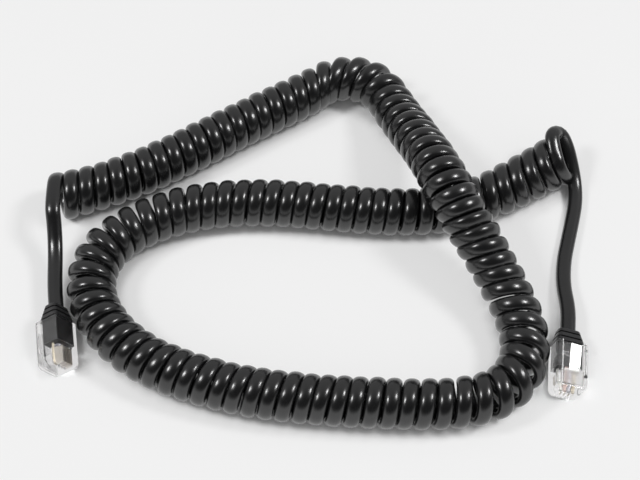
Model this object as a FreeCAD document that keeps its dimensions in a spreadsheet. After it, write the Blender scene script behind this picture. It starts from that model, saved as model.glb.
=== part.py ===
import FreeCAD, Part
import bisect
import itertools
import math
import os

import Sketcher

Vector = FreeCAD.Vector
Placement = FreeCAD.Placement
Rotation = FreeCAD.Rotation

# Driving dimensions, in millimetres and degrees: alias, value, what it measures
SIZES = [
    ("cord_diameter", 3.1, "outside of the round jacket"),
    ("coil_diameter", 11.8, "outside of the curls"),
    ("curl_pitch", 4.45, "from curl to curl where the coil lies straight"),
    ("curl_gap", 0.5, "least free space between curls inside a bend"),
    ("crossing_gap", 0.8, "free space where the coil lies over itself"),
    ("housing_width", 7.65, "clear plug body, across"),
    ("housing_height", 6.6, "clear plug body, from the contact face to the latch face"),
    ("housing_length", 12.6, "clear plug body, from the nose to the cord end"),
    ("housing_edge_round", 0.45, "rounding of the edges along the body and round its nose"),
    ("nose_round", 1.6, "rounding of the upright corners of the nose"),
    ("fit_clearance", 0.05, "free space around a piece that is pushed into the body"),
    ("relief_width", 6.0, "strain relief inside the body, across"),
    ("relief_height", 4.1, "strain relief inside the body, upright"),
    ("relief_depth", 6.4, "strain relief inside the body, along the cord"),
    ("relief_drop", 0.55, "cord line below the middle of the body"),
    ("rib_count", 3, "ribs of the strain relief behind the body"),
    ("rib_width", 7.4, "largest rib, across"),
    ("rib_height", 5.4, "largest rib, upright"),
    ("rib_length", 1.05, "one rib, along the cord"),
    ("rib_step", 0.7, "how much narrower each rib is than the one before"),
    ("groove_length", 0.45, "one groove, along the cord"),
    ("groove_depth", 0.55, "one groove, below its rib"),
    ("rib_round", 1.2, "rounding of the corners of a rib"),
    ("tip_round", 0.45, "rounding of the last rib, round the cord"),
    ("contact_count", 4, "contacts side by side, each with its conductor"),
    ("contact_pitch", 1.02, "from contact to contact"),
    ("contact_thickness", 0.32, "one contact blade"),
    ("contact_length", 4.2, "one contact blade, along the plug"),
    ("contact_front", 0.7, "from the nose to the blades"),
    ("contact_inset", 0.5, "blade edge below the contact face"),
    ("conductor_diameter", 0.86, "one insulated conductor"),
    ("conductor_front", 1.0, "from the nose to the ends of the conductors"),
    ("latch_thickness", 0.8, "latch, root and finger"),
    ("latch_root_width", 5.0, "latch at its root, across"),
    ("latch_root_length", 3.2, "latch root, from the hinge line"),
    ("latch_root_round", 0.35, "rounding of the root at the hinge line"),
    ("latch_finger_width", 2.8, "latch finger, across"),
    ("latch_length", 9.7, "from the hinge line to the tip of the finger"),
    ("latch_angle", 9.5, "finger above the latch face when it is free"),
    ("latch_clearance", 0.15, "free space around the latch root"),
    ("latch_setback", 0.9, "wall between the nose and the latch root"),
    ("left_plug_x", -64.75, "left plug, middle of the cord end of the body"),
    ("left_plug_y", -27.2, "left plug, middle of the cord end of the body"),
    ("left_plug_yaw", 9.0, "left plug, turned on the table"),
    ("left_plug_roll", -122.0, "left plug, rolled about the cord"),
    ("right_plug_x", 60.35, "right plug, middle of the cord end of the body"),
    ("right_plug_y", -33.2, "right plug, middle of the cord end of the body"),
    ("right_plug_yaw", -6.5, "right plug, turned on the table"),
    ("right_plug_roll", 16.0, "right plug, rolled about the cord"),
]

# Middle line of the coil on the table: x, y, and how far it climbs to pass over itself (0 to 1)
COIL_ROUTE = [
    (-67.8, 9.4, 0.0), (-53.0, 14.2, 0.0), (-37.1, 23.1, 0.0), (-20.0, 34.2, 0.0), (-4.7, 43.1, 0.0),
    (3.1, 48.8, 0.0), (10.4, 49.5, 0.0), (16.9, 45.7, 0.0), (20.3, 37.0, 0.08), (24.9, 23.9, 0.55),
    (29.3, 10.9, 1.0), (33.1, 0.9, 1.0), (39.1, -8.5, 0.6), (45.1, -17.7, 0.2), (49.5, -28.0, 0.0),
    (49.4, -39.0, 0.0), (42.8, -47.2, 0.0), (31.0, -49.7, 0.0), (16.0, -49.4, 0.0), (0.0, -48.5, 0.0),
    (-16.1, -46.6, 0.0), (-30.1, -42.9, 0.0), (-42.2, -37.9, 0.0), (-52.0, -29.7, 0.0), (-57.1, -19.5, 0.0),
    (-56.4, -8.8, 0.0), (-49.4, -0.7, 0.0), (-38.0, 5.1, 0.0), (-25.0, 7.9, 0.0), (-10.0, 8.0, 0.0),
    (5.0, 6.2, 0.0), (20.0, 4.9, 0.0), (33.0, 5.8, 0.0), (44.2, 10.0, 0.0), (53.8, 15.4, 0.0),
    (59.6, 19.2, 0.0), (63.0, 21.6, 0.0), (66.2, 22.3, 0.0),
]

# Free points of the two tails, between the coil and the plugs: x, y, and how high the cord lies off the
# table. The runs beside the coil and the plug are straight on from them, and only their lengths are given.
LEFT_TAIL_POINTS = [(-66.5, -7.4, 6.1)]
LEFT_TAIL_ENDS = (6.5, 6.5)
RIGHT_TAIL_POINTS = [
    (68.4, 11.2, 0.0), (66.6, 5.4, 0.0), (63.8, -1.4, 0.05), (61.8, -8.8, 0.2), (60.9, -16.0, 0.9),
]
RIGHT_TAIL_ENDS = (3.4, 6.5)

# How the cord is drawn: the share of a run that an arc takes up, the steps along the middle line of the
# coil, the part of a turn between two points of the helix, and how far apart points are to measure gaps
ARC_SHARE = 0.45
AXIS_STEPS = 4000
TURN_STEP = 0.5
GAP_SAMPLE = 0.8

# Lengths below this count as none
TINY = 1e-6
ALONG = Vector(0, 1, 0)
UPRIGHT = Vector(0, 0, 1)

doc = FreeCAD.newDocument("handset_cord")
sheet = doc.addObject("Spreadsheet::Sheet", "Sizes")


def fill_sheet():
    for row, (alias, value, note) in enumerate(SIZES, start=1):
        sheet.set("A%d" % row, alias)
        sheet.set("B%d" % row, str(value))
        sheet.set("C%d" % row, note)
        sheet.setAlias("B%d" % row, alias)
    doc.recompute()


def size(alias):
    return float(sheet.get(alias))


def sized(text):
    # Writes each alias in a formula the way an expression names a cell of the sheet
    words = text.split(" ")
    aliases = [alias for alias, value, note in SIZES]
    return " ".join("Sizes." + word if word in aliases else word for word in words)


def origin_plane(body, role):
    for feature in body.Origin.OriginFeatures:
        if feature.Role == role:
            return feature
    raise ValueError(role)


def new_body(label):
    body = doc.addObject("PartDesign::Body", label)
    body.Label = label
    return body


def outline(body, name, role, points, lift="0"):
    # A closed outline on an origin plane, with both places of each corner bound to a formula
    sketch = body.newObject("Sketcher::SketchObject", name)
    sketch.AttachmentSupport = [(origin_plane(body, role), "")]
    sketch.MapMode = "FlatFace"
    sketch.setExpression("AttachmentOffset.Base.z", sized(lift))
    count = len(points)
    turns = [2 * math.pi * index / count for index in range(count)]
    corners = [Vector(math.cos(turn), math.sin(turn), 0) for turn in turns]
    for index in range(count):
        sketch.addGeometry(Part.LineSegment(corners[index], corners[(index + 1) % count]), False)
    for index in range(count):
        sketch.addConstraint(Sketcher.Constraint("Coincident", index, 2, (index + 1) % count, 1))
    for index, (across, upright) in enumerate(points):
        for kind, formula in (("DistanceX", across), ("DistanceY", upright)):
            number = sketch.addConstraint(Sketcher.Constraint(kind, -1, 1, index, 1, 1.0))
            sketch.setExpression("Constraints[%d]" % number, sized(formula))
    return sketch


def rectangle(body, name, role, left, right, low, high, lift="0"):
    points = [(left, low), (right, low), (right, high), (left, high)]
    return outline(body, name, role, points, lift)


def pad(body, name, sketch, length, reverse=False, taper="0"):
    feature = body.newObject("PartDesign::Pad", name)
    feature.Profile = sketch
    feature.setExpression("Length", sized(length))
    feature.setExpression("TaperAngle", sized(taper))
    feature.Reversed = reverse
    doc.recompute()
    return feature


def pocket(body, name, sketch, length, reverse=False):
    before = body.Shape.Volume
    feature = body.newObject("PartDesign::Pocket", name)
    feature.Profile = sketch
    feature.setExpression("Length", sized(length))
    feature.Reversed = reverse
    doc.recompute()
    if body.Shape.Volume >= before:
        raise ValueError(name + " cuts nothing")
    return feature


def fillet(body, name, base, radius, wanted):
    edges = ["Edge%d" % (number + 1) for number, edge in enumerate(base.Shape.Edges) if wanted(edge)]
    feature = body.newObject("PartDesign::Fillet", name)
    feature.Base = (base, edges)
    feature.setExpression("Radius", sized(radius))
    doc.recompute()
    return feature


def runs_along(edge, direction):
    first, last = edge.Vertexes[0].Point, edge.Vertexes[-1].Point
    return (last - first).cross(direction).Length < TINY


def housing(label):
    # Clear body: a block with a rounded nose, open at the cord end, with a lane for the conductors,
    # a slot for each contact and a recess for the latch
    body = new_body(label)
    block = rectangle(body, label + "_section", "XZ_Plane", "- housing_width / 2", "housing_width / 2",
                      "- housing_height / 2", "housing_height / 2")
    shell = pad(body, label + "_block", block, "housing_length")
    nose = -size("housing_length")
    corners = fillet(body, label + "_nose", shell, "nose_round",
                     lambda edge: runs_along(edge, UPRIGHT) and abs(edge.Vertexes[0].Y - nose) < TINY)
    fillet(body, label + "_sides", corners, "housing_edge_round", lambda edge: runs_along(edge, ALONG))
    cavity = rectangle(body, label + "_cavity", "XZ_Plane",
                       "- relief_width / 2 - fit_clearance", "relief_width / 2 + fit_clearance",
                       "- relief_drop - relief_height / 2 - fit_clearance",
                       "- relief_drop + relief_height / 2 + fit_clearance")
    pocket(body, label + "_cavity_cut", cavity, "relief_depth", True)
    lane_half = "( contact_count - 1 ) / 2 * contact_pitch + conductor_diameter / 2 + fit_clearance"
    lane = rectangle(body, label + "_lane", "XZ_Plane", "- ( " + lane_half + " )", lane_half,
                     "- relief_drop - conductor_diameter / 2 - fit_clearance",
                     "- relief_drop + conductor_diameter / 2 + fit_clearance", "relief_depth")
    lane_length = "housing_length - relief_depth - conductor_front + fit_clearance"
    pocket(body, label + "_lane_cut", lane, lane_length, True)
    for number in range(int(size("contact_count"))):
        middle = contact_line(number)
        slot = rectangle(body, label + "_slot_%d" % (number + 1), "XZ_Plane",
                         middle + " - contact_thickness / 2 - fit_clearance",
                         middle + " + contact_thickness / 2 + fit_clearance",
                         "- housing_height", "- relief_drop", "housing_length")
        slot_length = "contact_front + contact_length + fit_clearance"
        pocket(body, label + "_slot_cut_%d" % (number + 1), slot, slot_length)
    recess = rectangle(body, label + "_recess", "XZ_Plane",
                       "- latch_root_width / 2 - latch_clearance", "latch_root_width / 2 + latch_clearance",
                       "housing_height / 2 - latch_thickness - latch_clearance", "housing_height")
    pocket(body, label + "_recess_cut", recess, "housing_length - latch_setback", True)
    return body


def contact_line(number):
    return "( %d - ( contact_count - 1 ) / 2 ) * contact_pitch" % number


def strain_relief(label):
    # Black moulding on the cord: a plain block inside the body, and behind it a boot that tapers towards
    # the cord, cut into ribs by narrow grooves
    body = new_body(label)
    block = rectangle(body, label + "_section", "XZ_Plane", "- relief_width / 2", "relief_width / 2",
                      "- relief_drop - relief_height / 2", "- relief_drop + relief_height / 2")
    pad(body, label + "_block", block, "relief_depth")
    taper = "- atan( rib_step / 2 / ( rib_length + groove_length ) )"
    solid = None
    for number in range(int(size("rib_count"))):
        start = "- %d * ( rib_length + groove_length )" % number
        shrink = " - %d * rib_step / 2" % number
        for name, inset, first, length, slope in (
                ("neck", shrink + " - groove_depth", start, "groove_length", "0"),
                ("rib", shrink, start + " - groove_length", "rib_length", taper)):
            wide = "rib_width / 2" + inset
            tall = "rib_height / 2" + inset
            low, high = "- relief_drop - ( " + tall + " )", "- relief_drop + ( " + tall + " )"
            title = "%s_%s_%d" % (label, name, number + 1)
            section = rectangle(body, title + "_section", "XZ_Plane",
                                "- ( " + wide + " )", wide, low, high, first)
            solid = pad(body, title, section, length, True, slope)
    solid = fillet(body, label + "_corners", solid, "rib_round", is_rib_corner)
    fillet(body, label + "_tip", solid, "tip_round", is_tip_edge)
    return body


def is_rib_corner(edge):
    # The corners of the ribs reach from the end of one groove to the start of the next
    places = sorted(vertex.Y for vertex in edge.Vertexes)
    step = size("rib_length") + size("groove_length")
    past_groove = (places[0] - size("groove_length")) / step
    starts_rib = abs(past_groove - round(past_groove)) * step < TINY
    ends_rib = abs(places[-1] - places[0] - size("rib_length")) < TINY
    return places[0] > TINY and starts_rib and ends_rib


def is_tip_edge(edge):
    return all(abs(vertex.Y - relief_length()) < TINY for vertex in edge.Vertexes)


def contact(label, number):
    # Flat blade with two teeth that bite into the conductor above it
    body = new_body(label)
    front = "- housing_length + contact_front"
    rear = front + " + contact_length"
    low = "- housing_height / 2 + contact_inset"
    top = "- relief_drop - conductor_diameter / 2"
    points = [(front, low), (rear, low), (rear, top),
              (front + " + contact_length * 3 / 4", "- relief_drop"),
              (front + " + contact_length / 2", top),
              (front + " + contact_length / 4", "- relief_drop"), (front, top)]
    side = contact_line(number) + " - contact_thickness / 2"
    profile = outline(body, label + "_profile", "YZ_Plane", points, side)
    pad(body, label + "_blade", profile, "contact_thickness")
    return body


def conductor(label, number, blade, where):
    # Insulated conductor lying in its lane, slit by the teeth of its contact
    core = doc.addObject("Part::Cylinder", label + "_core")
    core.setExpression("Radius", sized("conductor_diameter / 2"))
    core.setExpression("Height", sized("housing_length - relief_depth - conductor_front"))
    across = (number - (size("contact_count") - 1) / 2) * size("contact_pitch")
    start = Vector(across, -size("relief_depth"), -size("relief_drop"))
    core.Placement = where * Placement(start, Rotation(Vector(1, 0, 0), 90))
    cut = doc.addObject("Part::Cut", label)
    cut.Label = label
    cut.Base = core
    cut.Tool = blade
    return cut


def latch(label):
    # Springy finger, drawn flat with its hinge line on its own X axis
    body = new_body(label)
    root = rectangle(body, label + "_root_section", "XY_Plane",
                     "- latch_root_width / 2", "latch_root_width / 2",
                     "- latch_thickness / 2", "latch_root_length", "- latch_thickness / 2")
    solid = pad(body, label + "_root", root, "latch_thickness")
    line = -size("latch_thickness") / 2
    fillet(body, label + "_hinge", solid, "latch_root_round",
           lambda edge: runs_along(edge, Vector(1, 0, 0)) and abs(edge.Vertexes[0].Y - line) < TINY)
    finger = rectangle(body, label + "_finger_section", "XY_Plane",
                       "- latch_finger_width / 2", "latch_finger_width / 2",
                       "latch_root_length / 2", "latch_length", "- latch_thickness / 2")
    pad(body, label + "_finger", finger, "latch_thickness")
    return body


def plug_place(side):
    # The plug rests on the table on its lowest long edge, whichever way it is rolled
    roll = math.radians(size(side + "_plug_roll"))
    rounding = size("housing_edge_round")
    lift = rounding + abs(math.sin(roll)) * (size("housing_width") / 2 - rounding)
    lift += abs(math.cos(roll)) * (size("housing_height") / 2 - rounding)
    spot = Vector(size(side + "_plug_x"), size(side + "_plug_y"), lift)
    turn = Rotation(Vector(0, 0, 1), size(side + "_plug_yaw"))
    return Placement(spot, turn.multiply(Rotation(Vector(0, 1, 0), size(side + "_plug_roll"))))


def latch_place():
    half = size("latch_thickness") / 2
    hinge_y = -size("housing_length") + size("latch_setback") + size("latch_clearance") + half
    hinge_z = size("housing_height") / 2 - half
    return Placement(Vector(0, hinge_y, hinge_z), Rotation(Vector(1, 0, 0), size("latch_angle")))


def relief_length():
    return size("rib_count") * (size("rib_length") + size("groove_length"))


def plug(side):
    where = plug_place(side)
    name = side + "_plug_"
    pieces = [housing(name + "housing"), strain_relief(name + "strain_relief"), latch(name + "latch")]
    pieces[0].Placement = where
    pieces[1].Placement = where
    pieces[2].Placement = where * latch_place()
    for number in range(int(size("contact_count"))):
        blade = contact(name + "contact_%d" % (number + 1), number)
        blade.Placement = where
        pieces.append(blade)
        pieces.append(conductor(name + "conductor_%d" % (number + 1), number, blade, where))
    hinge = where * latch_place()
    across = where.Rotation.multVec(Vector(1, 0, 0))
    print(side, "latch hinge", hinge.Base, "axis", across)
    return pieces


class CoilPath:
    # Left-handed helix around the middle line of the coil. It starts on top and ends underneath, and the
    # curls draw apart in a bend so that they keep their gap on its inner side.
    def __init__(self):
        self.middle_radius = (size("coil_diameter") - size("cord_diameter")) / 2
        self.axis = self.middle_line()
        first, last = self.axis.FirstParameter, self.axis.LastParameter
        self.marks = [first + (last - first) * step / AXIS_STEPS for step in range(AXIS_STEPS + 1)]
        self.turns = self.count_turns()
        self.total = math.floor(self.turns[-1] - 0.5) + 0.5

    def middle_line(self):
        climb = size("coil_diameter") + size("crossing_gap")
        poles = [Vector(x, y, size("coil_diameter") / 2 + level * climb) for x, y, level in COIL_ROUTE]
        count = len(poles)
        curve = Part.BSplineCurve()
        repeats = [3] + [1] * (count - 3) + [3]
        curve.buildFromPolesMultsKnots(poles, repeats, list(range(count - 1)), False, 2)
        return curve

    def local_pitch(self, mark):
        inner = 1 - self.middle_radius * self.axis.curvature(mark)
        return max(size("curl_pitch"), (size("cord_diameter") + size("curl_gap")) / inner)

    def count_turns(self):
        turns = [0.0]
        places = [self.axis.value(mark) for mark in self.marks]
        for step in range(AXIS_STEPS):
            middle = (self.marks[step] + self.marks[step + 1]) / 2
            run = places[step].distanceToPoint(places[step + 1])
            turns.append(turns[-1] + run / self.local_pitch(middle))
        return turns

    def point(self, turn):
        wanted = turn * self.turns[-1] / self.total
        step = min(max(bisect.bisect_right(self.turns, wanted) - 1, 0), AXIS_STEPS - 1)
        share = (wanted - self.turns[step]) / (self.turns[step + 1] - self.turns[step])
        mark = self.marks[step] + share * (self.marks[step + 1] - self.marks[step])
        forward = Vector(*self.axis.tangent(mark)[0])
        aside = Vector(0, 0, 1).cross(forward).normalize()
        upward = forward.cross(aside)
        angle = math.pi / 2 - 2 * math.pi * turn
        ring = aside * math.cos(angle) + upward * math.sin(angle)
        return self.axis.value(mark) + ring * self.middle_radius

    def direction(self, turn):
        small = 1e-4
        before = self.point(max(turn - small, 0))
        after = self.point(min(turn + small, self.total))
        return (after - before).normalize()


def tangent_arc(start, corner, end):
    # Arc from start to end that touches both legs of the corner
    middle = (start + end) * 0.5
    half = start.distanceToPoint(end) / 2
    rise = corner - middle
    turn = 2 * math.atan2(rise.Length, half)
    return Part.Arc(start, middle + rise.normalize() * half * math.tan(turn / 4), end).toShape()


def biarc(start, start_way, end, end_way):
    # Two arcs that leave start along start_way, meet smoothly and reach end along end_way
    chord = end - start
    ways = start_way + end_way
    square = 4 - ways.dot(ways)
    linear = 2 * chord.dot(ways)
    leg = (-linear + math.sqrt(linear * linear + 4 * square * chord.dot(chord))) / (2 * square)
    first_corner = start + start_way * leg
    second_corner = end - end_way * leg
    joint = (first_corner + second_corner) * 0.5
    return [tangent_arc(start, first_corner, joint), tangent_arc(joint, second_corner, end)]


def coil_wire(path):
    # The ends run straight for one cord diameter
    straight = size("cord_diameter")
    place, way = path.point(0), path.direction(0)
    edges = [Part.LineSegment(place - way * straight, place).toShape()]
    for step in range(int(path.total / TURN_STEP)):
        turn = (step + 1) * TURN_STEP
        next_place, next_way = path.point(turn), path.direction(turn)
        edges.extend(biarc(place, way, next_place, next_way))
        place, way = next_place, next_way
    edges.append(Part.LineSegment(place, place + way * straight).toShape())
    return Part.Wire(edges)


def rounded_wire(points, name):
    # Straight runs joined by arcs as large as the runs allow
    edges = []
    place = points[0]
    for before, corner, after in zip(points, points[1:], points[2:]):
        into = (corner - before).normalize()
        out = (after - corner).normalize()
        half_turn = into.getAngle(out) / 2
        leg = ARC_SHARE * min(corner.distanceToPoint(before), corner.distanceToPoint(after))
        radius = leg / math.tan(half_turn)
        print(name, "bend radius %.1f" % radius, "turn %.0f" % math.degrees(2 * half_turn))
        start, end = corner - into * leg, corner + out * leg
        edges.append(Part.LineSegment(place, start).toShape())
        edges.append(tangent_arc(start, corner, end))
        place = end
    edges.append(Part.LineSegment(place, points[-1]).toShape())
    return Part.Wire(edges)


def cord_solid(label, wire):
    # Round section carried along the wire, compared with section times length
    radius = size("cord_diameter") / 2
    first = wire.OrderedEdges[0]
    section = Part.Circle(first.valueAt(first.FirstParameter), first.tangentAt(first.FirstParameter), radius)
    shell = Part.BRepOffsetAPI.MakePipeShell(wire)
    shell.add(Part.Wire([section.toShape()]))
    shell.build()
    shell.makeSolid()
    piece = doc.addObject("Part::Feature", label)
    piece.Label = label
    piece.Shape = shell.shape()
    piece.Placement = Placement()
    wanted = wire.Length * math.pi * radius ** 2
    print(label, "length %.1f" % wire.Length, "volume share %.4f" % (piece.Shape.Volume / wanted))
    return piece


def least_gap(wire, turn_length):
    # Least free space between stretches of one cord that lie half a turn or more apart along it
    points = wire.discretize(Distance=GAP_SAMPLE)
    cell = 2 * size("cord_diameter")
    cells = {}
    for number, point in enumerate(points):
        cells.setdefault(tuple(int(value // cell) for value in point), []).append(number)
    skip = int(turn_length / 2 / GAP_SAMPLE)
    least = cell
    for key, numbers in cells.items():
        around = [tuple(value + shift for value, shift in zip(key, shifts))
                  for shifts in itertools.product((-1, 0, 1), repeat=3)]
        near = [number for place in around for number in cells.get(place, [])]
        for number in numbers:
            point = points[number]
            gaps = [point.distanceToPoint(points[other]) for other in near if other - number > skip]
            least = min([least] + gaps)
    return least - size("cord_diameter")


def cord_end(side):
    # Where the cord enters the strain relief, and the way it comes from
    where = plug_place(side)
    entry = where.multVec(Vector(0, relief_length(), -size("relief_drop")))
    return entry, where.Rotation.multVec(Vector(0, 1, 0))


def tail_points(side, coil_place, coil_way, free_points, end_runs):
    entry, way = cord_end(side)
    points = [coil_place, coil_place + coil_way * end_runs[0]]
    points.extend(Vector(x, y, size("cord_diameter") / 2 + rise) for x, y, rise in free_points)
    points.extend([entry + way * end_runs[1], entry])
    return points


def cord():
    path = CoilPath()
    wire = coil_wire(path)
    print("curls", path.total, "least gap %.2f" % least_gap(wire, 2 * math.pi * path.middle_radius))
    straight = size("cord_diameter")
    start_way, end_way = path.direction(0), path.direction(path.total)
    start = path.point(0) - start_way * straight
    end = path.point(path.total) + end_way * straight
    left = tail_points("left", start, start_way * -1, LEFT_TAIL_POINTS, LEFT_TAIL_ENDS)
    right = tail_points("right", end, end_way, RIGHT_TAIL_POINTS, RIGHT_TAIL_ENDS)
    return [cord_solid("curly_cord", wire),
            cord_solid("left_tail", rounded_wire(left, "left tail")),
            cord_solid("right_tail", rounded_wire(right, "right tail"))]


def write(pieces):
    doc.recompute()
    for item in doc.Objects:
        if "Invalid" in item.State or "Error" in item.State:
            raise ValueError(item.Label + " failed")
    for piece in pieces:
        if piece.Shape.isNull() or not piece.Shape.isValid():
            raise ValueError(piece.Label + " has no sound shape")
    os.makedirs("parts", exist_ok=True)
    for piece in pieces:
        piece.Shape.exportStep("parts/%s.step" % piece.Label)


fill_sheet()
write(plug("left") + plug("right") + cord())
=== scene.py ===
import math

import bpy
import numpy as np
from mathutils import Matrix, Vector


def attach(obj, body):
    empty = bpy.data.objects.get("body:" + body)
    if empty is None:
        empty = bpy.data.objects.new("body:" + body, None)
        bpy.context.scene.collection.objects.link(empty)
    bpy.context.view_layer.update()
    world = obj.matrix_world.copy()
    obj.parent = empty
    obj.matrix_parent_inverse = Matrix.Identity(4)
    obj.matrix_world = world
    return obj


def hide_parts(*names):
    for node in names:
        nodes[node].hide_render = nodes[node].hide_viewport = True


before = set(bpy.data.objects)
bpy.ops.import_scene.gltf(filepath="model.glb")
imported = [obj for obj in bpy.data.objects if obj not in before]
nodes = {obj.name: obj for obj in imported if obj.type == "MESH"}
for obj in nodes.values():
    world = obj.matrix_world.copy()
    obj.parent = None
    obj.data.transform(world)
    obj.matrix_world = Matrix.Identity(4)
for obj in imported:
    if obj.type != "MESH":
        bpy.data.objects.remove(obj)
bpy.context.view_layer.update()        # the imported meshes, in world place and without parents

print("frame loaded:", len(nodes), "nodes")


# Camera

photoCamera = {
    "lookAt": (0.0, 0.0005, 0.0),   # the spot on the table in the middle of the picture
    "elevation": 57.0,              # degrees over the table
    "distance": 0.365,
    "focalPixels": 1412.6,
    "imageWidth": 640,
    "sensorWidth": 36.0,            # millimetres
}


def makeCamera(spec):
    # straight in front of the table's middle, raised by the elevation
    angle = math.radians(spec["elevation"])
    away = Vector((0.0, -math.cos(angle), math.sin(angle)))
    data = bpy.data.cameras.new("photoCamera")
    data.sensor_width = spec["sensorWidth"]
    data.lens = spec["focalPixels"] * spec["sensorWidth"] / spec["imageWidth"]
    data.clip_start = 0.01
    camera = bpy.data.objects.new("photoCamera", data)
    camera.location = Vector(spec["lookAt"]) + away * spec["distance"]
    camera.rotation_euler = away.to_track_quat("Z", "Y").to_euler()
    bpy.context.scene.collection.objects.link(camera)
    bpy.context.scene.camera = camera
    return camera


makeCamera(photoCamera)
print("camera placed")


# Lines and swept tubes

def smoothLine(points, resolution=40):
    # the NURBS curve that has the points as its control points, read back as a row of points
    curve = bpy.data.curves.new("line", "CURVE")
    curve.dimensions = "3D"
    curve.resolution_u = resolution
    spline = curve.splines.new("NURBS")
    spline.points.add(len(points) - 1)
    spline.points.foreach_set("co", np.c_[points, np.ones(len(points))].ravel())
    spline.order_u = 3
    spline.use_endpoint_u = True
    holder = bpy.data.objects.new("line", curve)
    mesh = bpy.data.meshes.new_from_object(holder)
    line = np.zeros(len(mesh.vertices) * 3)
    mesh.vertices.foreach_get("co", line)
    bpy.data.meshes.remove(mesh)
    bpy.data.curves.remove(curve)
    return line.reshape(-1, 3)


def unit(vectors):
    return vectors / np.linalg.norm(vectors, axis=-1, keepdims=True)


def distanceAlong(line):
    steps = np.linalg.norm(np.diff(line, axis=0), axis=1)
    return np.concatenate([[0.0], np.cumsum(steps)])


def pointsAt(line, along, wanted):
    return np.stack([np.interp(wanted, along, line[:, k]) for k in range(3)], axis=1)


def evenly(line, spacing):
    along = distanceAlong(line)
    count = int(along[-1] / spacing) + 1
    return pointsAt(line, along, np.linspace(0.0, along[-1], count))


def headings(line):
    return unit(np.gradient(line, axis=0))


def sweptOval(name, centres, outward, halfThick, halfWide, power, sides):
    # point(i, j) = centre i + outward i * halfThick * c + across i * halfWide * s, where c and s are
    # cos and sin of the angle j raised to 2 / power, which makes an oval with flatter sides
    forward = headings(centres)
    outward = unit(outward - forward * np.sum(outward * forward, axis=1, keepdims=True))
    across = np.cross(forward, outward)
    angle = np.linspace(0.0, 2 * math.pi, sides, endpoint=False)
    c = np.sign(np.cos(angle)) * np.abs(np.cos(angle)) ** (2 / power)
    s = np.sign(np.sin(angle)) * np.abs(np.sin(angle)) ** (2 / power)
    grid = (centres[:, None] + outward[:, None] * (halfThick * c)[None, :, None]
            + across[:, None] * (halfWide * s)[None, :, None])
    return closedTube(name, grid, distanceAlong(centres))


def closedTube(name, grid, along):
    # rings of the grid joined by quads, with a flat face on each end; UV is (around, metres along)
    rings, sides = grid.shape[:2]
    ring, side = np.meshgrid(np.arange(rings - 1), np.arange(sides), indexing="ij")
    after = (side + 1) % sides
    quads = np.stack([ring * sides + side, ring * sides + after,
                      (ring + 1) * sides + after, (ring + 1) * sides + side], axis=-1).reshape(-1, 4)
    first = list(range(sides))[::-1]
    last = [(rings - 1) * sides + k for k in range(sides)]
    mesh = bpy.data.meshes.new(name)
    mesh.from_pydata(grid.reshape(-1, 3).tolist(), [], quads.tolist() + [first, last])
    mesh.polygons.foreach_set("use_smooth", np.ones(len(mesh.polygons), bool))
    around = np.stack([side, side + 1, side + 1, side], axis=-1) / sides
    lengthwise = np.stack([along[ring], along[ring], along[ring + 1], along[ring + 1]], axis=-1)
    quadUv = np.stack([around, lengthwise], axis=-1).reshape(-1, 2)
    endUv = np.zeros((2 * sides, 2))
    layer = mesh.uv_layers.new(name="UVMap")
    layer.uv.foreach_set("vector", np.concatenate([quadUv, endUv]).ravel())
    mesh.update()
    piece = bpy.data.objects.new(name, mesh)
    bpy.context.scene.collection.objects.link(piece)
    return piece


# Curly cord

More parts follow.
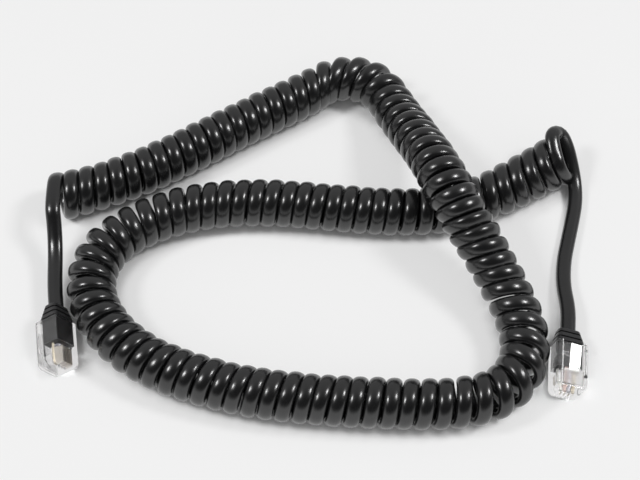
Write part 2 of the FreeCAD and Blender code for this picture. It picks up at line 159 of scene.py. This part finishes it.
curlyCord = {
    "coilWidth": 0.0122,        # outside the curls
    "thick": 0.0026,            # of the oval cord, out from the coil's middle line
    "wide": 0.0038,             # along the coil's middle line
    "ovalPower": 2.25,
    "curls": 107.92,            # from the top of the left end nearly to the top of the right end
    "crossingClimb": 0.0126,    # from one level to the next
    "stepsPerCurl": 34,
    "sides": 20,
    "unevenPlace": 0.00010,     # how far curls stray along the coil, in size and in their lean
    "unevenSize": 0.012,
    "unevenLean": 1.5,
    "endCurls": (2.5, 8.0),     # curls that open up at the left and right end,
    "endGrowth": (0.06, 0.13),  # and how much larger the last one is
    "endTip": 36.0,             # degrees by which the last right curl tips back
    "route": [          # x, y and level of the coil's middle line, and the room and lean of its curls there
        (-0.0678, 0.0094, 0.0, 0.00415, 9), (-0.053, 0.0142, 0.0, 0.004, 2),
        (-0.0371, 0.0231, 0.0, 0.00385, 0), (-0.02, 0.0342, 0.0, 0.0038, 0),
        (-0.0047, 0.0431, 0.0, 0.00395, 5), (0.0031, 0.0488, 0.0, 0.0043, 32),
        (0.0104, 0.0495, 0.0, 0.00465, 14), (0.0169, 0.0457, 0.0, 0.005, -7),
        (0.0203, 0.037, 0.08, 0.00515, -1), (0.0249, 0.0239, 0.55, 0.0047, 1),
        (0.0293, 0.0109, 1.0, 0.0038, -2), (0.0331, 0.0009, 1.0, 0.00355, -5),
        (0.0391, -0.0085, 0.6, 0.0036, 8), (0.0451, -0.0177, 0.2, 0.00425, 9),
        (0.0495, -0.028, 0.0, 0.0049, 8), (0.0494, -0.039, 0.0, 0.0051, 6),
        (0.0428, -0.0472, 0.0, 0.0048, 5), (0.031, -0.0497, 0.0, 0.00435, 0),
        (0.016, -0.0494, 0.0, 0.00405, -3), (0.0, -0.0485, 0.0, 0.00395, 5),
        (-0.0161, -0.0466, 0.0, 0.00395, 3), (-0.0301, -0.0429, 0.0, 0.004, 2),
        (-0.0422, -0.0379, 0.0, 0.00405, 0), (-0.052, -0.0297, 0.0, 0.00415, -7),
        (-0.0571, -0.0195, 0.0, 0.00435, -5), (-0.0564, -0.0088, 0.0, 0.00445, -3),
        (-0.0494, -0.0007, 0.0, 0.00435, -6), (-0.038, 0.0051, 0.0, 0.0042, 2),
        (-0.025, 0.0079, 0.0, 0.0041, 4), (-0.01, 0.008, 0.0, 0.004, 0), (0.005, 0.0062, 0.0, 0.0039, -2),
        (0.02, 0.0049, 0.0, 0.0039, 0), (0.033, 0.0058, 0.0, 0.00425, -2), (0.0442, 0.0101, 0.0, 0.0047, 14),
        (0.0538, 0.0158, 0.0, 0.0048, 24), (0.0596, 0.0197, 0.0, 0.00475, 24),
        (0.063, 0.0221, 0.0, 0.0047, 18), (0.0662, 0.0228, 0.0, 0.0047, 12),
    ],
    "leftTail": [(-0.0671, -0.0005, 0.0093), (-0.0667, -0.0065, 0.0057)],
    "leftEnds": (0.0065, 0.0065),       # straight runs at the coil and at the plug
    "leftPlug": (-0.06499, -0.02268, 0.00511),
    "leftPlugWay": (-0.1564, 0.9877, 0.0),
    "leftTwist": 8.0,                   # degrees by which the flat of the cord is turned at the plug
    "rightTail": [(0.0603, 0.0255, 0.0122), (0.0629, 0.0280, 0.0104), (0.0648, 0.0250, 0.0084),
                  (0.0662, 0.0210, 0.0050), (0.0671, 0.0166, 0.0021), (0.0668, 0.0112, 0.0015),
                  (0.0654, 0.0054, 0.0015), (0.0637, -0.0008, 0.0015), (0.0620, -0.0072, 0.0016),
                  (0.0611, -0.0145, 0.0022)],
    "rightEnds": (0.0025, 0.0065),
    "rightPlug": (0.06071, -0.02871, 0.00359),
    "rightPlugWay": (0.1132, 0.9936, 0.0),
    "rightTwist": 16.0,
    "tailInPlug": 0.004,                # how far a tail runs on inside the strain relief
    "tailSpacing": 0.0008,
}


def wander(turn, shift):
    # two slow waves that never meet in step, so that no curl is quite like the next
    return 0.6 * np.sin(2.39 * turn + shift) + 0.4 * np.sin(1.13 * turn + 2.7 * shift)


def easeIn(share):
    share = np.clip(share, 0.0, 1.0)
    return share * share * (3 - 2 * share)


def coilLine(spec):
    # centre = middle line + radius * (aside * cos a + up * sin a), where the angle a falls by a full turn
    # for each curl, and one over the room for a curl, added up along the middle line, counts the curls
    radius = (spec["coilWidth"] - spec["thick"]) / 2
    route = np.array(spec["route"])
    route[:, 2] = spec["coilWidth"] / 2 + route[:, 2] * spec["crossingClimb"]
    middle = smoothLine(route[:, :3])
    room, slant = smoothLine(np.c_[route[:, 3:], np.zeros(len(route))]).T[:2]
    along = distanceAlong(middle)
    turns = np.concatenate([[0.0], np.cumsum(np.diff(along) * 2 / (room[1:] + room[:-1]))])
    print("curls by the room they have: %.2f" % turns[-1])
    turn = np.linspace(0.0, spec["curls"], int(spec["curls"] * spec["stepsPerCurl"]) + 1)
    place = np.interp(turn, turns, along) + spec["unevenPlace"] * wander(turn, 0.4)
    centre = pointsAt(middle, along, place)
    forward = headings(middle)
    bend = pointsAt(np.gradient(forward, along, axis=0), along, place)
    way = unit(pointsAt(forward, along, place))
    lean = np.radians(np.interp(place, along, slant) + spec["unevenLean"] * wander(turn, 1.9))
    growth = spec["unevenSize"] * wander(turn, 3.1)
    growth += spec["endGrowth"][0] * easeIn(1 - turn / spec["endCurls"][0])
    growth += spec["endGrowth"][1] * easeIn(1 - (spec["curls"] - turn) / spec["endCurls"][1])
    way = np.stack([way[:, 0] * np.cos(lean) + way[:, 1] * np.sin(lean),
                    way[:, 1] * np.cos(lean) - way[:, 0] * np.sin(lean), way[:, 2]], axis=1)
    aside = unit(np.cross((0.0, 0.0, 1.0), way))
    tip = np.radians(spec["endTip"]) * easeIn(1 - (spec["curls"] - turn) / spec["endCurls"][1])
    up = np.cross(way, aside) * np.cos(tip)[:, None] - way * np.sin(tip)[:, None]
    angle = math.pi / 2 - 2 * math.pi * turn
    outward = aside * np.cos(angle)[:, None] + up * np.sin(angle)[:, None]
    centre[:, 2] += radius * ((1 + growth) * np.cos(tip) - 1)
    centre[:, 2] += (spec["wide"] - spec["thick"]) / 2 * np.sin(tip)
    line = centre + (radius * (1 + growth))[:, None] * outward
    gap = np.interp(place, along, room) * (1 - radius * np.sum(outward * bend, axis=1))
    return line, tilted(line, outward, gap, spec)


def tilted(line, outward, gap, spec):
    # inside a bend a curl has less room than the cord is wide, so its oval turns until it fits:
    # half of the room squared = half thick squared * sin squared + half wide squared * cos squared
    thick, wide = spec["thick"] / 2, spec["wide"] / 2
    flat = np.clip(((gap / 2) ** 2 - thick ** 2) / (wide ** 2 - thick ** 2), 0.0, 1.0)
    turn = np.arccos(np.sqrt(flat))
    window = spec["stepsPerCurl"] // 4
    turn = np.convolve(np.pad(turn, window, mode="edge"), np.ones(2 * window + 1) / (2 * window + 1), "valid")
    across = np.cross(headings(line), outward)
    return outward * np.cos(turn)[:, None] + across * np.sin(turn)[:, None]


def tailLine(spec, side, start, startWay):
    # from the coil's end straight on, through the tail's points, and straight into the plug
    entry = np.array(spec[side + "Plug"])
    way = unit(np.array(spec[side + "PlugWay"]))
    runs = spec[side + "Ends"]
    points = [start, start + startWay * runs[0], *np.array(spec[side + "Tail"])]
    points += [entry + way * runs[1], entry, entry - way * spec["tailInPlug"]]
    return evenly(smoothLine(np.array(points)), spec["tailSpacing"])


def tailOutward(line, startOutward, twist):
    # straight up or down, as the coil's end faces, made square to the tail and turned by a twist that grows
    # towards the plug
    forward = headings(line)
    upright = np.array([0.0, 0.0, math.copysign(1.0, startOutward[2])])
    outward = unit(upright - forward * (forward @ upright)[:, None])
    share = np.linspace(0.0, 1.0, len(line))
    angle = math.radians(twist) * share ** 2 * (3 - 2 * share)
    across = np.cross(forward, outward)
    return outward * np.cos(angle)[:, None] + across * np.sin(angle)[:, None]


def makeCord(spec):
    coil, coilOutward = coilLine(spec)
    ends = headings(coil)
    left = tailLine(spec, "left", coil[0], -ends[0])
    right = tailLine(spec, "right", coil[-1], ends[-1])
    leftOutward = tailOutward(left, coilOutward[0], spec["leftTwist"])
    rightOutward = tailOutward(right, coilOutward[-1], spec["rightTwist"])
    centres = np.concatenate([left[:0:-1], coil, right[1:]])
    outward = np.concatenate([leftOutward[:0:-1], coilOutward, rightOutward[1:]])
    piece = sweptOval("cord", centres, outward, spec["thick"] / 2, spec["wide"] / 2,
                      spec["ovalPower"], spec["sides"])
    return piece, centres


cord, cordLine = makeCord(curlyCord)
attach(cord, "cord")
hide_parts("curly_cord", "left_tail", "right_tail")


# Finishes

def newMaterial(name):
    material = bpy.data.materials.new(name)
    material.use_nodes = True
    tree = material.node_tree
    return material, tree, tree.nodes["Principled BSDF"]


def place(tree, kind, **values):
    # a node with its plain settings, and its sockets set by name
    node = tree.nodes.new(kind)
    for key, value in values.items():
        if key in node.inputs:
            node.inputs[key].default_value = value
        else:
            setattr(node, key, value)
    return node


def between(tree, source, limits, values, smooth):
    # a value that goes from the first to the second while the source goes from one limit to the other
    change = place(tree, "ShaderNodeMapRange", interpolation_type="SMOOTHSTEP" if smooth else "LINEAR")
    change.inputs["From Min"].default_value = limits[0]
    change.inputs["From Max"].default_value = limits[1]
    change.inputs["To Min"].default_value = values[0]
    change.inputs["To Max"].default_value = values[1]
    tree.links.new(source, change.inputs["Value"])
    return change.outputs["Result"]


def combine(tree, operation, first, second):
    # two sockets, or a socket and a plain number, by one operation
    node = place(tree, "ShaderNodeMath", operation=operation)
    tree.links.new(first, node.inputs[0])
    if isinstance(second, float):
        node.inputs[1].default_value = second
    else:
        tree.links.new(second, node.inputs[1])
    return node.outputs[0]


def makeMottleGroup():
    # a colour and a roughness that wander between two values, and a fine surface height
    group = bpy.data.node_groups.new("mouldedMottle", "ShaderNodeTree")
    sockets = group.interface
    for name, kind in (("Vector", "NodeSocketVector"), ("Scale", "NodeSocketFloat"),
                       ("Dark", "NodeSocketColor"), ("Light", "NodeSocketColor"),
                       ("Smooth", "NodeSocketFloat"), ("Rough", "NodeSocketFloat")):
        sockets.new_socket(name=name, in_out="INPUT", socket_type=kind)
    for name, kind in (("Color", "NodeSocketColor"), ("Roughness", "NodeSocketFloat"),
                       ("Height", "NodeSocketFloat")):
        sockets.new_socket(name=name, in_out="OUTPUT", socket_type=kind)
    inside = place(group, "NodeGroupInput")
    outside = place(group, "NodeGroupOutput")
    broad = place(group, "ShaderNodeTexNoise", Detail=3.0, Roughness=0.55)
    fine = place(group, "ShaderNodeTexNoise", Detail=2.0, Roughness=0.6)
    tone = place(group, "ShaderNodeMix", data_type="RGBA")
    sheen = place(group, "ShaderNodeMapRange")
    link = group.links.new
    link(inside.outputs["Vector"], broad.inputs["Vector"])
    link(inside.outputs["Vector"], fine.inputs["Vector"])
    link(inside.outputs["Scale"], broad.inputs["Scale"])
    link(combine(group, "MULTIPLY", inside.outputs["Scale"], 6.0), fine.inputs["Scale"])
    link(broad.outputs["Fac"], tone.inputs["Factor"])
    link(inside.outputs["Dark"], tone.inputs["A"])
    link(inside.outputs["Light"], tone.inputs["B"])
    link(fine.outputs["Fac"], sheen.inputs["Value"])
    link(inside.outputs["Smooth"], sheen.inputs["To Min"])
    link(inside.outputs["Rough"], sheen.inputs["To Max"])
    link(tone.outputs["Result"], outside.inputs["Color"])
    link(sheen.outputs["Result"], outside.inputs["Roughness"])
    link(fine.outputs["Fac"], outside.inputs["Height"])
    return group


mouldedMottle = makeMottleGroup()


def mottled(material, spec, coordinate="Object"):
    # the mottle on the material's colour, roughness and normal
    tree = material.node_tree
    shader = tree.nodes["Principled BSDF"]
    where = place(tree, "ShaderNodeTexCoord")
    mottle = place(tree, "ShaderNodeGroup", node_tree=mouldedMottle)
    mottle.inputs["Scale"].default_value = spec["scale"]
    mottle.inputs["Dark"].default_value = (*spec["dark"], 1.0)
    mottle.inputs["Light"].default_value = (*spec["light"], 1.0)
    mottle.inputs["Smooth"].default_value = spec["smooth"]
    mottle.inputs["Rough"].default_value = spec["rough"]
    bump = place(tree, "ShaderNodeBump", Strength=spec["bump"], Distance=spec["bumpDepth"])
    link = tree.links.new
    link(where.outputs[coordinate], mottle.inputs["Vector"])
    link(mottle.outputs["Color"], shader.inputs["Base Color"])
    link(mottle.outputs["Roughness"], shader.inputs["Roughness"])
    link(mottle.outputs["Height"], bump.inputs["Height"])
    link(bump.outputs["Normal"], shader.inputs["Normal"])


cordJacket = {
    "scale": 220.0, "dark": (0.005, 0.005, 0.0053), "light": (0.009, 0.009, 0.0095),
    "smooth": 0.23, "rough": 0.28, "bump": 0.02, "bumpDepth": 0.00005,
    "bending": 1.7,         # higher than vinyl's, for its wet-looking shine
}


def makeJacket(spec):
    # shiny black vinyl
    material, tree, shader = newMaterial("cordJacket")
    mottled(material, spec)
    shader.inputs["IOR"].default_value = spec["bending"]
    return material


reliefPlastic = {
    "scale": 500.0, "dark": (0.012, 0.012, 0.013), "light": (0.024, 0.024, 0.025),
    "smooth": 0.32, "rough": 0.46, "bump": 0.12, "bumpDepth": 0.00005,
}


def makeRelief(spec):
    # satin black moulding
    material, tree, shader = newMaterial("reliefPlastic")
    mottled(material, spec)
    return material


clearPlastic = {
    "scale": 260.0, "dark": (0.78, 0.775, 0.775), "light": (0.87, 0.865, 0.865),
    "smooth": 0.01, "rough": 0.05, "bump": 0.03, "bumpDepth": 0.00005,
    "bending": 1.13,        # lower than the real plastic's, so that the nose mirrors less of the black insert
    "skinRough": 0.03,
    "shadowTint": (0.86, 0.87, 0.87, 1.0),
}


def makeClear(name, spec):
    # clear polycarbonate under a gloss skin that lets the lamps through to the table
    material, tree, shader = newMaterial(name)
    mottled(material, spec)
    shader.inputs["IOR"].default_value = spec["bending"]
    shader.inputs["Transmission Weight"].default_value = 1.0
    shader.inputs["Coat Weight"].default_value = 1.0
    shader.inputs["Coat IOR"].default_value = 1.5
    shader.inputs["Coat Roughness"].default_value = spec["skinRough"]
    path = place(tree, "ShaderNodeLightPath")
    lampShare = place(tree, "ShaderNodeBsdfTransparent", Color=spec["shadowTint"])
    both = place(tree, "ShaderNodeMixShader")
    link = tree.links.new
    link(path.outputs["Is Shadow Ray"], both.inputs["Fac"])
    link(shader.outputs["BSDF"], both.inputs[1])
    link(lampShare.outputs["BSDF"], both.inputs[2])
    link(both.outputs["Shader"], tree.nodes["Material Output"].inputs["Surface"])
    return material


latchPlastic = {
    **clearPlastic,
    "fade": (0.30, 0.44),       # along the latch from its root, where the frost gives way to gloss
    "frosted": 0.55, "glossy": 0.08,
}


def makeLatch(spec):
    # the same plastic, with a frosted root and a glossy finger, one after the other along the plug
    material = makeClear("latchPlastic", spec)
    tree = material.node_tree
    shader = tree.nodes["Principled BSDF"]
    where = place(tree, "ShaderNodeTexCoord")
    split = place(tree, "ShaderNodeSeparateXYZ")
    tree.links.new(where.outputs["Generated"], split.inputs[0])
    frost = between(tree, split.outputs["Y"], spec["fade"], (spec["frosted"], spec["glossy"]), True)
    tree.links.new(frost, shader.inputs["Roughness"])
    tree.links.new(frost, shader.inputs["Coat Roughness"])
    return material


contactGold = {
    "scale": 900.0, "dark": (0.76, 0.70, 0.62), "light": (0.92, 0.88, 0.82),
    "smooth": 0.28, "rough": 0.44, "bump": 0.08, "bumpDepth": 0.00003,
}


def makeGold(spec):
    # thin gold plate on stamped blades
    material, tree, shader = newMaterial("contactGold")
    mottled(material, spec)
    shader.inputs["Metallic"].default_value = 1.0
    return material


conductorSkins = {
    "scale": 700.0, "smooth": 0.30, "rough": 0.5, "bump": 0.06, "bumpDepth": 0.00004,
    "colours": [
        ((0.66, 0.65, 0.62), (0.76, 0.75, 0.72)),
        ((0.56, 0.40, 0.36), (0.66, 0.50, 0.45)),
        ((0.44, 0.43, 0.48), (0.55, 0.54, 0.59)),
        ((0.62, 0.53, 0.40), (0.72, 0.64, 0.50)),
    ],
}


def makeConductor(spec, number):
    # coloured insulation
    material, tree, shader = newMaterial("conductorSkin%d" % (number + 1))
    dark, light = spec["colours"][number]
    mottled(material, {**spec, "dark": dark, "light": light})
    return material


def dress(piece, material):
    piece.data.materials.clear()
    piece.data.materials.append(material)


jacket = makeJacket(cordJacket)
relief = makeRelief(reliefPlastic)
clear = makeClear("clearPlastic", clearPlastic)
clearLatch = makeLatch(latchPlastic)
gold = makeGold(contactGold)
skins = [makeConductor(conductorSkins, number) for number in range(4)]
dress(cord, jacket)
for side in ("left", "right"):
    dress(nodes[side + "_plug_housing"], clear)
    dress(nodes[side + "_plug_latch"], clearLatch)
    dress(nodes[side + "_plug_strain_relief"], relief)
    for number in range(4):
        dress(nodes["%s_plug_contact_%d" % (side, number + 1)], gold)
        dress(nodes["%s_plug_conductor_%d" % (side, number + 1)], skins[number])
print("finishes given")


# Table and lights

tableTop = {
    "size": 6.0,
    "scale": 14.0, "dark": (0.84, 0.84, 0.84), "light": (0.88, 0.88, 0.88),
    "smooth": 0.55, "rough": 0.65, "bump": 0.0, "bumpDepth": 0.0001,
    "paper": (0.92, 0.92, 0.92, 1.0),   # the plain paper that reflections and clear plastic show alone,
    "paperShare": 0.55,                 # and that the camera sees mixed with the lit table and its shadows
    "contact": (0.010, 0.36, 0.58),     # painted contact shade: the reach within which a piece dims the paper, and the open sky from dim to full the share of paper that reflections keep where the painted shade is darkest
    "paintedShadeGloss": 0.45,               # what reflections keep of it where it is gone
}


def makeTable(spec):
    # one flat square under everything
    half = spec["size"] / 2
    mesh = bpy.data.meshes.new("tableTop")
    corners = np.array([(-1, -1, 0), (1, -1, 0), (1, 1, 0), (-1, 1, 0)]) * half
    mesh.from_pydata(corners.tolist(), [], [(0, 1, 2, 3)])
    table = bpy.data.objects.new("tableTop", mesh)
    bpy.context.scene.collection.objects.link(table)
    material, tree, shader = newMaterial("tableTop")
    mottled(material, spec)
    shader.inputs["Specular IOR Level"].default_value = 0.2
    # painted contact shade: ambient occlusion fades the paper's glow near and under pieces, so the floor and
    # its reflections go darker there
    reach, closed, opened = spec["contact"]
    paintedShadeOpenSky = place(tree, "ShaderNodeAmbientOcclusion", Distance=reach).outputs["AO"]
    direct = between(tree, paintedShadeOpenSky, (closed, opened), (0.0, spec["paperShare"]), True)
    gloss = between(tree, paintedShadeOpenSky, (closed, opened), (spec["paintedShadeGloss"], 1.0), True)
    rays = place(tree, "ShaderNodeLightPath").outputs
    direct = combine(tree, "MULTIPLY", rays["Is Camera Ray"], direct)
    gloss = combine(tree, "MULTIPLY", rays["Is Glossy Ray"], gloss)
    plain = combine(tree, "MAXIMUM", gloss, rays["Is Transmission Ray"])
    plain = combine(tree, "MAXIMUM", direct, plain)
    paper = place(tree, "ShaderNodeEmission", Color=spec["paper"])
    both = place(tree, "ShaderNodeMixShader")
    link = tree.links.new
    link(plain, both.inputs["Fac"])
    link(shader.outputs["BSDF"], both.inputs[1])
    link(paper.outputs["Emission"], both.inputs[2])
    link(both.outputs["Shader"], tree.nodes["Material Output"].inputs["Surface"])
    dress(table, material)


studioLights = {
    "lamps": [      # name, azimuth (0 is behind the table, 90 to the right), elevation, distance, size, watts
        ("leftLamp", -98.0, 52.0, 0.8, 0.17, 2.4),
        ("rightLamp", 87.0, 53.0, 0.8, 0.17, 2.6),
    ],
}


def makeLights(spec):
    # square lamps that all face the table's middle
    for name, azimuth, elevation, distance, side, watts in spec["lamps"]:
        turn, rise = math.radians(azimuth), math.radians(elevation)
        away = Vector((math.sin(turn) * math.cos(rise), math.cos(turn) * math.cos(rise), math.sin(rise)))
        data = bpy.data.lights.new(name, "AREA")
        data.shape = "SQUARE"
        data.size = side
        data.energy = watts
        lamp = bpy.data.objects.new(name, data)
        lamp.location = away * distance
        lamp.rotation_euler = away.to_track_quat("Z", "Y").to_euler()
        bpy.context.scene.collection.objects.link(lamp)


studioRoom = {
    "front": 0.02, "back": 0.46,        # how bright the walls are in reflections,
    "wallFade": (-0.5, 0.7),            # and from where to where one goes over into the other
    "paper": 1.0,                       # the paper that curls up at the near edge of the table,
    "paperTop": (0.05, 0.42),           # the height where it ends,
    "paperBack": (-0.6, 0.2),           # and how far it reaches around
    "through": 0.5,                     # the share of paper that clear plastic shows all around
    "cast": (0.62, 0.10),               # the soft light from the front and from behind
}


def makeRoom(spec):
    # directions run from -1 to 1; reflections show walls and paper, and other surfaces get the soft light
    world = bpy.data.worlds.new("studio")
    world.use_nodes = True
    tree = world.node_tree
    where = place(tree, "ShaderNodeTexCoord")
    split = place(tree, "ShaderNodeSeparateXYZ")
    tree.links.new(where.outputs["Generated"], split.inputs[0])
    backward, upward = split.outputs["Y"], split.outputs["Z"]
    rays = place(tree, "ShaderNodeLightPath").outputs
    walls = between(tree, backward, spec["wallFade"], (spec["front"], spec["back"]), True)
    low = between(tree, upward, spec["paperTop"], (1.0, 0.0), True)
    ahead = between(tree, backward, spec["paperBack"], (1.0, 0.0), True)
    curled = combine(tree, "MULTIPLY", low, ahead)
    through = combine(tree, "MULTIPLY", rays["Is Transmission Ray"], spec["through"])
    cast = between(tree, backward, (-1.0, 1.0), spec["cast"], False)
    mirrored = combine(tree, "MAXIMUM", rays["Is Glossy Ray"], rays["Is Transmission Ray"])
    seen = combine(tree, "MAXIMUM", rays["Is Camera Ray"], mirrored)
    room = place(tree, "ShaderNodeMix", data_type="FLOAT")
    level = place(tree, "ShaderNodeMix", data_type="FLOAT")
    link = tree.links.new
    link(combine(tree, "MAXIMUM", curled, through), room.inputs["Factor"])
    link(walls, room.inputs["A"])
    room.inputs["B"].default_value = spec["paper"]
    link(seen, level.inputs["Factor"])
    link(cast, level.inputs["A"])
    link(room.outputs["Result"], level.inputs["B"])
    background = tree.nodes["Background"]
    background.inputs["Color"].default_value = (1.0, 1.0, 1.0, 1.0)
    link(level.outputs["Result"], background.inputs["Strength"])
    bpy.context.scene.world = world


makeTable(tableTop)
makeLights(studioLights)
makeRoom(studioRoom)
bpy.context.scene.view_settings.view_transform = "Standard"
print("table and lights set")
